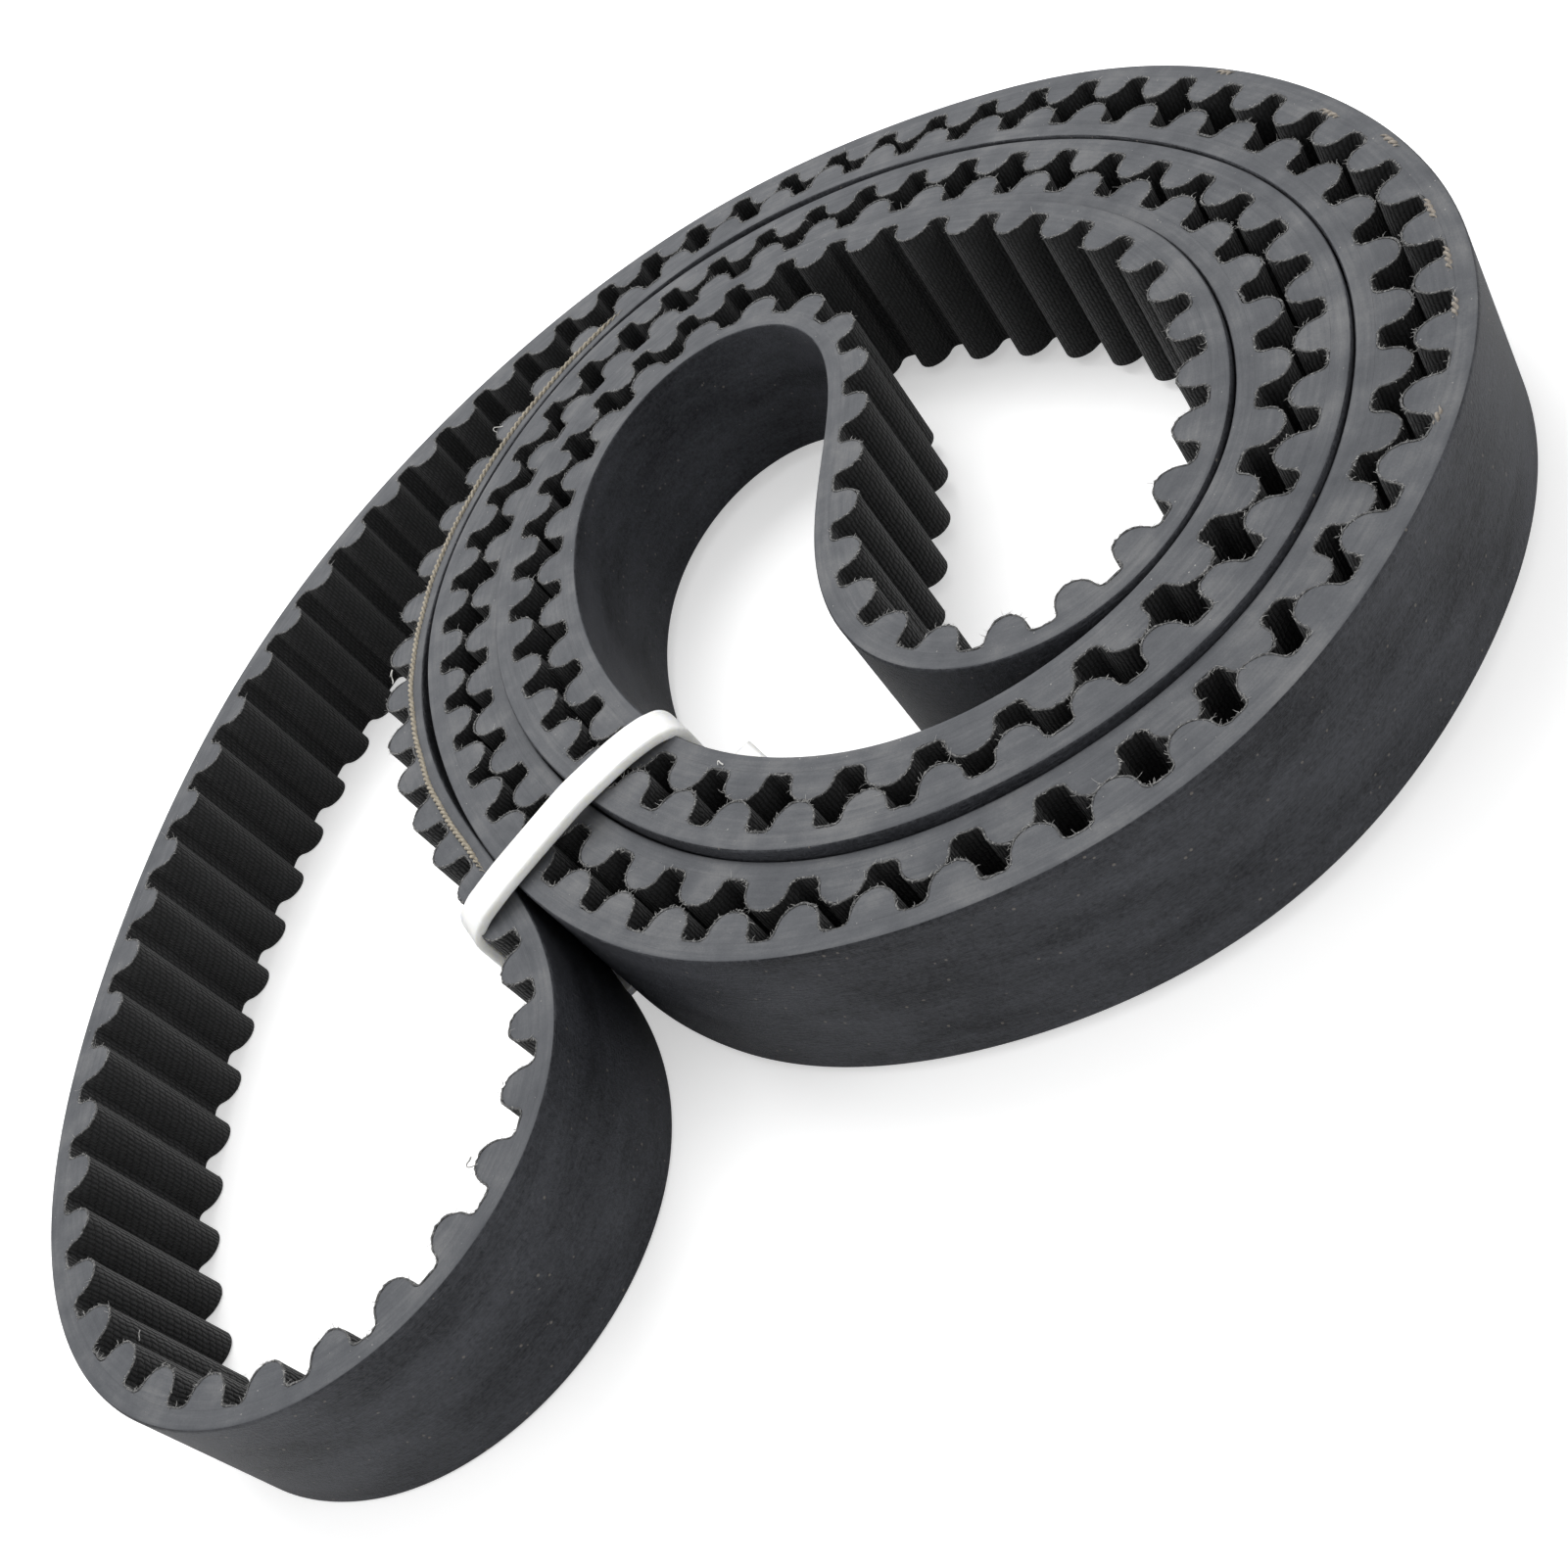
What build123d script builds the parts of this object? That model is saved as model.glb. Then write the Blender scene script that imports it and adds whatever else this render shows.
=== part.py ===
from build123d import *
import math
import os
import numpy as np

# Endless curvilinear timing belt, folded flat and coiled, held by one cable tie.
# Millimetres. +Z up, Z = 0 is the table the belt stands on, edge down.
# Origin: centre of the bounding box in X and Y, bottom in Z.

# ---- belt ----
PITCH = 8.0            # tooth spacing along the pitch line
TEETH = 250            # pitch length 2000
WIDTH = 20.0           # edge to edge, the height of the standing belt
TOTAL = 5.6            # back surface to tooth crest
TOOTH_H = 3.36         # land to crest
PLD = 0.686            # land surface to pitch line
CREST_R = 2.45         # radius of the rounded crest
FLANK = 7.0            # flank angle, degrees
ROOT_R = 0.8           # fillet at the foot of a tooth
FACING_T = 0.2         # nylon tooth facing
GAP = 0.01             # bond line between two layers
BACK = TOTAL - TOOTH_H - PLD

# ---- tensile cord ----
CORD_R = 0.395
CORD_N = 16            # windings across the width, S and Z twist in turn
CORD_PITCH = 1.1
CORD_Z0 = 1.95
CORD_SIDE = 0.39       # where the backing compound ends, teeth side of the pitch line
EDGE_FROM = 224.2      # stretch of the loop, in teeth, where the cut winding shows
EDGE_TO = 238.0
EDGE_Z = 19.6 

# ---- cable tie ----
TIE_C = (-12.3, -25.6) # a point of its centre line seen from above
TIE_ANGLE = 33.0       # direction of the strap across the windings
TIE_W = 4.8
TIE_T = 1.2
TIE_GAP = 0.12         # air between strap and belt
BED = TIE_T + 0.1      # depth the strap beds into the lower edge
CROWN = 0.5            # rise of the strap over the upper edge
HEAD = (7.6, 7.4, 5.4) # across the strap, along it, out from the bundle
HEAD_Z = 6.0
SLOT_W = TIE_W + 0.3
SLOT_T = TIE_T + 0.25
PAWL_W = 4.2
PAWL_L = 2.5
PAWL_T = 0.9
CORNER = 0.35          # inside bend of the strap at the belt's edges

# Pitch line, one point per tooth, clockwise seen from above,
# with the back of the belt on the left and the teeth on the right.
PITCH_LINE = [
    (-65.39, -74.23), (-71.15, -68.69), (-75.79, -62.19), (-79.35, -55.03), (-81.92, -47.46),
    (-83.63, -39.65), (-84.61, -31.71), (-84.98, -23.73), (-84.86, -15.73), (-84.30, -7.75),
    (-83.33, 0.19), (-81.94, 8.06), (-80.05, 15.83), (-77.60, 23.45), (-74.53, 30.83),
    (-70.81, 37.91), (-66.45, 44.61), (-61.50, 50.89), (-56.00, 56.69), (-50.02, 62.00),
    (-43.61, 66.79), (-36.83, 71.02), (-29.71, 74.65), (-22.28, 77.61), (-14.59, 79.82),
    (-6.72, 81.19), (1.27, 81.66), (9.25, 81.22), (17.15, 79.95), (24.90, 77.97),
    (32.47, 75.40), (39.84, 72.28), (46.93, 68.56), (53.59, 64.14), (59.71, 58.99),
    (65.22, 53.18), (70.09, 46.84), (74.33, 40.05), (77.92, 32.90), (80.85, 25.45),
    (83.07, 17.76), (84.49, 9.89), (85.00, 1.91), (84.42, -6.07), (82.67, -13.88),
    (79.76, -21.33), (75.87, -28.32), (71.17, -34.80), (65.77, -40.71), (59.64, -45.86),
    (52.77, -49.96), (45.30, -52.81), (37.45, -54.41), (29.46, -54.91), (21.46, -54.46),
    (13.57, -53.08), (5.93, -50.67), (-1.25, -47.13), (-7.79, -42.50), (-13.64, -37.03),
    (-18.86, -30.95), (-23.51, -24.42), (-27.58, -17.51), (-31.08, -10.30), (-34.04, -2.85),
    (-36.35, 4.83), (-37.82, 12.71), (-38.25, 20.71), (-37.50, 28.68), (-35.53, 36.45),
    (-32.45, 43.84), (-28.37, 50.74), (-23.32, 56.95), (-17.23, 62.14), (-10.18, 65.92),
    (-2.49, 68.15), (5.47, 68.98), (13.47, 68.67), (21.37, 67.34), (29.02, 65.00),
    (36.30, 61.67), (43.11, 57.46), (49.39, 52.49), (55.09, 46.87), (60.18, 40.69),
    (64.64, 34.03), (68.39, 26.96), (71.24, 19.48), (73.00, 11.67), (73.53, 3.69),
    (72.80, -4.28), (70.90, -12.06), (67.93, -19.49), (63.82, -26.35), (58.51, -32.33),
    (52.09, -37.08), (44.86, -40.50), (37.15, -42.63), (29.20, -43.53), (21.22, -43.11),
    (13.45, -41.25), (6.18, -37.92), (-0.38, -33.36), (-6.25, -27.93), (-11.51, -21.90),
    (-16.18, -15.40), (-20.16, -8.46), (-23.25, -1.09), (-25.34, 6.62), (-26.37, 14.55),
    (-26.33, 22.55), (-25.18, 30.46), (-22.74, 38.07), (-18.75, 44.98), (-13.16, 50.67),
    (-6.32, 54.77), (1.32, 57.09), (9.28, 57.63), (17.19, 56.54), (24.79, 54.09),
    (31.96, 50.58), (38.68, 46.25), (44.86, 41.20), (50.37, 35.42), (54.97, 28.90),
    (58.44, 21.71), (60.69, 14.05), (61.71, 6.13), (61.46, -1.85), (59.78, -9.65),
    (56.45, -16.90), (51.30, -22.97), (44.42, -26.94), (36.54, -27.83), (29.03, -25.26),
    (23.20, -19.86), (19.63, -12.74), (18.13, -4.90), (18.16, 3.09), (19.05, 11.03),
    (20.05, 18.97), (20.34, 26.95), (18.95, 34.80), (15.09, 41.75), (8.67, 46.39),
    (0.83, 47.47), (-6.63, 44.79), (-12.40, 39.33), (-16.13, 32.29), (-17.93, 24.53),
    (-18.14, 16.56), (-17.08, 8.65), (-14.99, 0.95), (-12.00, -6.45), (-8.15, -13.44),
    (-3.39, -19.84), (2.32, -25.40), (8.90, -29.90), (16.17, -33.18), (23.93, -35.02),
    (31.89, -35.16), (39.69, -33.53), (46.96, -30.26), (53.40, -25.55), (58.64, -19.55),
    (62.34, -12.49), (64.39, -4.79), (65.04, 3.16), (64.51, 11.12), (62.84, 18.92),
    (60.02, 26.39), (56.08, 33.33), (51.12, 39.58), (45.37, 45.12), (39.05, 49.99),
    (32.24, 54.17), (24.99, 57.52), (17.36, 59.87), (9.45, 60.93), (1.49, 60.46),
    (-6.21, 58.35), (-13.27, 54.64), (-19.30, 49.42), (-23.97, 42.96), (-27.15, 35.64),
    (-29.01, 27.87), (-29.73, 19.92), (-29.43, 11.93), (-28.13, 4.05), (-25.83, -3.60),
    (-22.58, -10.90), (-18.52, -17.78), (-13.82, -24.24), (-8.56, -30.26), (-2.70, -35.69),
    (3.81, -40.32), (10.96, -43.87), (18.62, -46.13), (26.56, -47.00), (34.53, -46.52),
    (42.34, -44.83), (49.81, -41.99), (56.71, -37.97), (62.75, -32.75), (67.71, -26.49),
    (71.55, -19.48), (74.34, -11.99), (76.12, -4.20), (76.80, 3.77), (76.29, 11.74),
    (74.62, 19.56), (71.91, 27.08), (68.32, 34.22), (64.02, 40.96), (59.10, 47.27),
    (53.60, 53.07), (47.52, 58.26), (40.93, 62.79), (33.90, 66.60), (26.51, 69.63),
    (18.82, 71.81), (10.91, 72.98), (2.92, 72.99), (-4.96, 71.68), (-12.49, 68.99),
    (-19.41, 65.01), (-25.55, 59.90), (-30.80, 53.88), (-35.10, 47.14), (-38.44, 39.88),
    (-40.78, 32.24), (-42.10, 24.35), (-42.37, 16.37), (-41.60, 8.41), (-39.83, 0.61),
    (-37.14, -6.91), (-33.67, -14.12), (-29.61, -21.01), (-25.24, -27.71), (-21.00, -34.49),
    (-17.48, -41.66), (-15.41, -49.37), (-15.36, -57.34), (-17.60, -64.99), (-21.96, -71.67),
    (-28.02, -76.86), (-35.24, -80.23), (-43.10, -81.63), (-51.05, -80.99), (-58.61, -78.44),
]


def periodic_cubic(pts):
    """Coefficients of the closed cubic spline through pts, unit parameter steps."""
    y = np.asarray(pts, float)
    n = len(y)
    a = np.zeros((n, n))
    for i in range(n):
        a[i, i] = 4.0
        a[i, (i - 1) % n] = 1.0
        a[i, (i + 1) % n] = 1.0
    r = 3.0 * (np.roll(y, -1, 0) - np.roll(y, 1, 0))
    return y, np.linalg.solve(a, r)


Y0, D0 = periodic_cubic(PITCH_LINE)
NPT = len(PITCH_LINE)


def hermite(t):
    t = np.mod(np.asarray(t, float), NPT)
    i = np.floor(t).astype(int) % NPT
    j = (i + 1) % NPT
    u = (t - np.floor(t))[:, None]
    p = ((2 * u**3 - 3 * u**2 + 1) * Y0[i] + (u**3 - 2 * u**2 + u) * D0[i]
         + (-2 * u**3 + 3 * u**2) * Y0[j] + (u**3 - u**2) * D0[j])
    d = ((6 * u**2 - 6 * u) * Y0[i] + (3 * u**2 - 4 * u + 1) * D0[i]
         + (-6 * u**2 + 6 * u) * Y0[j] + (3 * u**2 - 2 * u) * D0[j])
    return p, d


def at(k, off=0.0):
    """Points at tooth coordinate k (crests at whole numbers), off towards the teeth."""
    k = np.atleast_1d(np.asarray(k, float))
    p, d = hermite(k)
    d = d / np.linalg.norm(d, axis=1)[:, None]
    n = np.c_[d[:, 1], -d[:, 0]]
    return p + np.atleast_1d(np.asarray(off, float))[:, None] * n


def v3(p, z=0.0):
    return [(float(a), float(b), z) for a, b in p]


def along(k, off=0.0):
    q = at([k + 0.001], off) - at([k - 0.001], off)
    return Vector(float(q[0, 0]), float(q[0, 1]), 0).normalized()


def smooth_edge(k0, k1, off, z, first=None, last=None):
    """Spline parallel to the pitch line from tooth k0 to k1, two points a tooth."""
    n = max(2, int(round((k1 - k0) * 2)))
    pts = v3(at(np.linspace(k0, k1, n + 1), off), z)
    if first is not None:
        pts[0] = first
    if last is not None:
        pts[-1] = last
    e = Edge.make_spline([Vector(*q) for q in pts], tangents=[along(k0, off), along(k1, off)],
                         scale=False)
    return e, pts[-1], pts[0]


def smooth_loop(off, z=0.0, seg=50):
    n = TEETH // seg
    edges, end, start = [], None, None
    for i in range(seg):
        e, end, s = smooth_edge(i * n, (i + 1) * n, off, z, first=end, last=start if i == seg - 1 else None)
        if start is None:
            start = s
        edges.append(e)
    return Wire(edges)


def tooth_points(inset):
    """Right half of one tooth, crest to foot: along the belt, height over the land."""
    b = math.radians(FLANK)
    cy = TOOTH_H - CREST_R
    cx = (CREST_R + ROOT_R - (ROOT_R - cy) * math.sin(b)) / math.cos(b)
    r1, r2 = CREST_R - inset, ROOT_R + inset
    out = [(r1 * math.cos(a), cy + r1 * math.sin(a)) for a in np.linspace(math.pi / 2, b, 6)]
    out += [(cx + r2 * math.cos(a), ROOT_R + r2 * math.sin(a))
            for a in np.linspace(math.pi + b, 1.5 * math.pi, 4)]
    return out, cx


def tooth_loop(inset):
    """Closed toothed outline; inset moves it into the belt by a layer thickness."""
    half, cx = tooth_points(inset)
    x = np.array([-q[0] for q in half[::-1]] + [q[0] for q in half[1:]])
    y = np.array([q[1] for q in half[::-1]] + [q[1] for q in half[1:]])
    teeth = [v3(at(i + x / PITCH, PLD + y)) for i in range(TEETH)]
    edges = []
    for i, pts in enumerate(teeth):
        edges.append(Edge.make_spline([Vector(*q) for q in pts],
                                      tangents=[along(i + x[0] / PITCH), along(i + x[-1] / PITCH)],
                                      scale=False))
        land = v3(at([i + 0.5], PLD - inset))[0]
        edges.append(Edge.make_three_point_arc(Vector(*pts[-1]), Vector(*land),
                                               Vector(*teeth[(i + 1) % TEETH][0])))
    return Wire(edges)


def ring(outer, inner):
    return Solid.extrude(Face(outer, [inner]), Vector(0, 0, WIDTH))


# ---- tie frame: a along the strap across the bundle, b across the strap ----
E = (math.cos(math.radians(TIE_ANGLE)), math.sin(math.radians(TIE_ANGLE)))
B = (-E[1], E[0])


def tie_pt(a, b, z):
    return (TIE_C[0] + a * E[0] + b * B[0], TIE_C[1] + a * E[1] + b * B[1], z)


def bundle_limits():
    """Outermost tooth crest and innermost back surface under the strap."""
    lo, hi = 0.0, 0.0
    k = np.arange(0, TEETH, 0.02)
    for off in (-BACK, TOTAL - BACK):
        p = at(k, off) - np.array(TIE_C)
        a = p @ np.array(E)
        b = p @ np.array(B)
        m = (np.abs(b) < TIE_W / 2 + 0.2) & (np.abs(a) < 22)
        lo = min(lo, a[m].min())
        hi = max(hi, a[m].max())
    return lo, hi


A0, A1 = bundle_limits()


def prism(poly, b0, b1):
    """Polygon in the (a, z) plane of the tie, between b0 and b1."""
    w = Wire.make_polygon([Vector(*tie_pt(a, b0, z)) for a, z in poly], close=True)
    d = b1 - b0
    return Solid.extrude(Face(w), Vector(B[0] * d, B[1] * d, 0))


def box_ab(a0, a1, b0, b1, z0, z1):
    return prism([(a0, z0), (a1, z0), (a1, z1), (a0, z1)], b0, b1)


def arc_pts(c, r, t0, t1, n=9):
    return [(c[0] + r * math.cos(t), c[1] + r * math.sin(t)) for t in np.linspace(t0, t1, n)]


LO, HI = A0 - TIE_GAP, A1 + TIE_GAP
ZT = HEAD_Z            # middle of the slot


def strap_face(outside):
    """Points along one face of the strap, from the root at the head round to the cut tail."""
    t = TIE_T if outside else 0.0
    r = CORNER + t
    top = WIDTH + TIE_GAP
    mid = (HI + LO) / 2
    p = [(HI + t, HEAD_Z + HEAD[1] / 2)]
    p += arc_pts((HI - CORNER, top - CORNER), r, 0.0, math.pi / 2)
    for f in (0.75, 0.5, 0.25, 0.0, -0.25, -0.5, -0.75):
        p.append((mid + f * (HI - LO) / 2, top + t + CROWN * math.cos(f * math.pi / 2)))
    p += arc_pts((LO + CORNER, top - CORNER), r, math.pi / 2, math.pi)
    p += arc_pts((LO + CORNER, TIE_T + CORNER), r, math.pi, 1.5 * math.pi)
    p += arc_pts((HI - CORNER, TIE_T + CORNER), r, -math.pi / 2, 0.0)
    bend = 0.5 if outside else 0.5 + TIE_T
    p += arc_pts((HI + TIE_T + 0.5, ZT - TIE_T / 2 - 0.5), bend, math.pi, math.pi / 2)
    p.append((HI + HEAD[2] + 0.6, ZT + (-TIE_T if outside else TIE_T) / 2))
    return p


def tube(path, z_dir_at, origin):
    c = Wire.make_circle(CORD_R, Plane(origin=origin, x_dir=(0, 0, 1), z_dir=z_dir_at))
    return Shell.sweep(c, path)


def save(name, solid):
    solid.label = name
    assert solid.is_valid, name
    export_step(solid, os.path.join("parts", name + ".step"))
    bb = solid.bounding_box()
    print("%-14s vol %10.2f  faces %5d  x %.2f..%.2f y %.2f..%.2f z %.2f..%.2f"
          % (name, solid.volume, len(solid.faces()), bb.min.X, bb.max.X, bb.min.Y, bb.max.Y, bb.min.Z, bb.max.Z))


def one(shape):
    s = shape.solids()
    assert len(s) == 1, len(s)
    return s[0]


os.makedirs("parts", exist_ok=True)

# lower edge relieved where the strap passes under the windings
bed = box_ab(LO - 0.5, HI + 0.5, -TIE_W / 2 - 0.1, TIE_W / 2 + 0.1, -1.0, BED)

backing = one(ring(smooth_loop(-BACK), smooth_loop(CORD_SIDE)) - bed)
save("backing", backing)

for i in range(CORD_N):
    z = CORD_Z0 + i * CORD_PITCH
    p = at([0.0])[0]
    d = along(0.0)
    sh = tube(smooth_loop(0.0, z), (d.X, d.Y, 0), (float(p[0]), float(p[1]), z))
    save("cord_%s_%02d" % ("s" if i % 2 == 0 else "z", i + 1), Solid(sh))

# the last winding, cut open and lying in the upper edge
n = 6
step = (EDGE_TO - EDGE_FROM) / n
edges, end = [], None
for i in range(n):
    e, end, _ = smooth_edge(EDGE_FROM + i * step, EDGE_FROM + (i + 1) * step, 0.0, EDGE_Z, first=end)
    edges.append(e)
p = at([EDGE_FROM])[0]
d = along(EDGE_FROM)
c = Wire.make_circle(CORD_R, Plane(origin=(float(p[0]), float(p[1]), EDGE_Z), x_dir=(0, 0, 1), z_dir=(d.X, d.Y, 0)))
path = Wire(edges)
walls = Shell.sweep(c, path)
q = at([EDGE_TO])[0]
dq = along(EDGE_TO)
c2 = Wire.make_circle(CORD_R, Plane(origin=(float(q[0]), float(q[1]), EDGE_Z), x_dir=(0, 0, 1), z_dir=(dq.X, dq.Y, 0)))
cut_cord = Solid(Shell(Face.sew_faces(list(walls.faces()) + [Face(c), Face(c2)])[0]))
save("cord_edge", cut_cord)

rubber = one(ring(smooth_loop(CORD_SIDE + GAP), tooth_loop(FACING_T + GAP)) - bed)
save("tooth_rubber", rubber)

facing = one(ring(tooth_loop(FACING_T), tooth_loop(0.0)) - bed)
save("tooth_facing", facing)

# ---- cable tie ----
poly = strap_face(True) + strap_face(False)[::-1]
strap = prism(poly, -TIE_W / 2, TIE_W / 2)
save("tie_strap", strap)

hz0, hz1 = HEAD_Z - HEAD[1] / 2, HEAD_Z + HEAD[1] / 2
head = box_ab(HI + 0.3, HI + HEAD[2], -HEAD[0] / 2, HEAD[0] / 2, hz0, hz1)
head = fillet(head.edges().filter_by(lambda e: e.center().Z < hz0 + 0.01 or e.center().Z > hz1 - 0.01)
              .filter_by(lambda e: (e.center() - Vector(*tie_pt(HI, 0, e.center().Z))).dot(Vector(E[0], E[1], 0)) > HEAD[2] * 0.3), 0.6)
head = head - box_ab(HI - 0.1, HI + TIE_T + 0.12, -SLOT_W / 2, SLOT_W / 2, hz0 - 0.1, ZT + SLOT_T / 2)
head = head - box_ab(HI + 0.5, HI + HEAD[2] + 0.1, -SLOT_W / 2, SLOT_W / 2, ZT - SLOT_T / 2, ZT + SLOT_T / 2)
# pawl pocket over the slot, open outwards so that the pawl can be seen and swing
head = head - box_ab(HI + 1.7, HI + HEAD[2] + 0.1, -PAWL_W / 2 - 0.15, PAWL_W / 2 + 0.15,
                     ZT + SLOT_T / 2 - 0.01, ZT + SLOT_T / 2 + PAWL_T + 1.25)
head = one(head)
save("tie_head", head)

# pawl: wedge on a living hinge at its inner end, its teeth down on the strap
ph = ZT + TIE_T / 2 + 0.03
a0 = HI + 1.75
body = [(a0, ph + 0.35), (a0 + 1.0, ph + 0.25), (a0 + 1.15, ph), (a0 + 1.35, ph + 0.25), (a0 + 1.75, ph + 0.18),
        (a0 + 1.9, ph), (a0 + PAWL_L, ph + 0.3), (a0 + PAWL_L + 0.15, ph + PAWL_T + 0.1),
        (a0 + 0.4, ph + PAWL_T + 0.35), (a0, ph + PAWL_T + 0.15)]
pawl = prism(body, -PAWL_W / 2, PAWL_W / 2)
save("tie_pawl", pawl)
hp = tie_pt(a0, 0, ph + PAWL_T + 0.15)
print("pawl hinge", [round(v / 1000, 6) for v in hp], "axis", [round(-B[0], 6), round(-B[1], 6), 0.0])
print("A0 %.3f A1 %.3f" % (A0, A1))
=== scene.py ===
"""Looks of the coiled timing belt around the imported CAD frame. Lengths below are millimetres."""
import math
import bpy
import numpy as np
from mathutils import Matrix, Vector


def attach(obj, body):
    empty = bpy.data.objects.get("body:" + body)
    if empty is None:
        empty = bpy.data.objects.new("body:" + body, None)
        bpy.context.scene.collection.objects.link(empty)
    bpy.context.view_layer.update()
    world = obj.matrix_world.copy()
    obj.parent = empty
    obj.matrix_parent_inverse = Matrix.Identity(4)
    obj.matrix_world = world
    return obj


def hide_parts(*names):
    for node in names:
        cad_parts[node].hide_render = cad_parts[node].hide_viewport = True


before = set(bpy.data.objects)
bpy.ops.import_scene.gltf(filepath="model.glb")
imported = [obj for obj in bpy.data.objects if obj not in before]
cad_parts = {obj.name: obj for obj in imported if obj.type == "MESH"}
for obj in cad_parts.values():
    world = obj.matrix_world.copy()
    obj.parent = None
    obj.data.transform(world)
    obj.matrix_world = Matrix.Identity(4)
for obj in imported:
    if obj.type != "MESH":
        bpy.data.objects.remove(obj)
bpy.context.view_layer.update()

PITCH, TEETH, TOTAL, TOOTH_H, PLD, CREST_R, FLANK, ROOT_R, FACING_T = 8.0, 250, 5.6, 3.36, 0.686, 2.45, 7.0, 0.8, 0.2
BACK = TOTAL - TOOTH_H - PLD
CORD_SIDE, CORD_Z0, CORD_PITCH, EDGE_FROM, EDGE_TO = 0.39, 1.95, 1.1, 224.2, 238.0
TIE_C, TIE_ANGLE, TIE_W, TIE_T, TIE_GAP, BED = (-12.3, -25.6), 33.0, 4.8, 1.2, 0.12, 1.3
HEAD, HEAD_Z = (7.6, 7.4, 5.4), 6.0

# finish values
CUT_LO, CUT_MID, CUT_HI = 0.062, 0.094, 0.16
BACK_LO, BACK_HI = 0.010, 0.060
FAB_LO, FAB_MID, FAB_HI = 0.005, 0.014, 0.034
FLOOR, FLOOR_GLOW, WORLD = 0.93, 0.44, 0.62
LIGHTS = [
    ("key", (-0.25, 0.55, 0.75), (0, 0, 0), (0.7, 0.7), 7.3),
    ("fill", (0.65, -0.35, 0.45), (0, 0, 0.01), (0.6, 0.5), 1.2),
    ("side", (-0.75, -0.35, 0.45), (0, 0, 0.01), (0.5, 0.5), 1.6),
]

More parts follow.
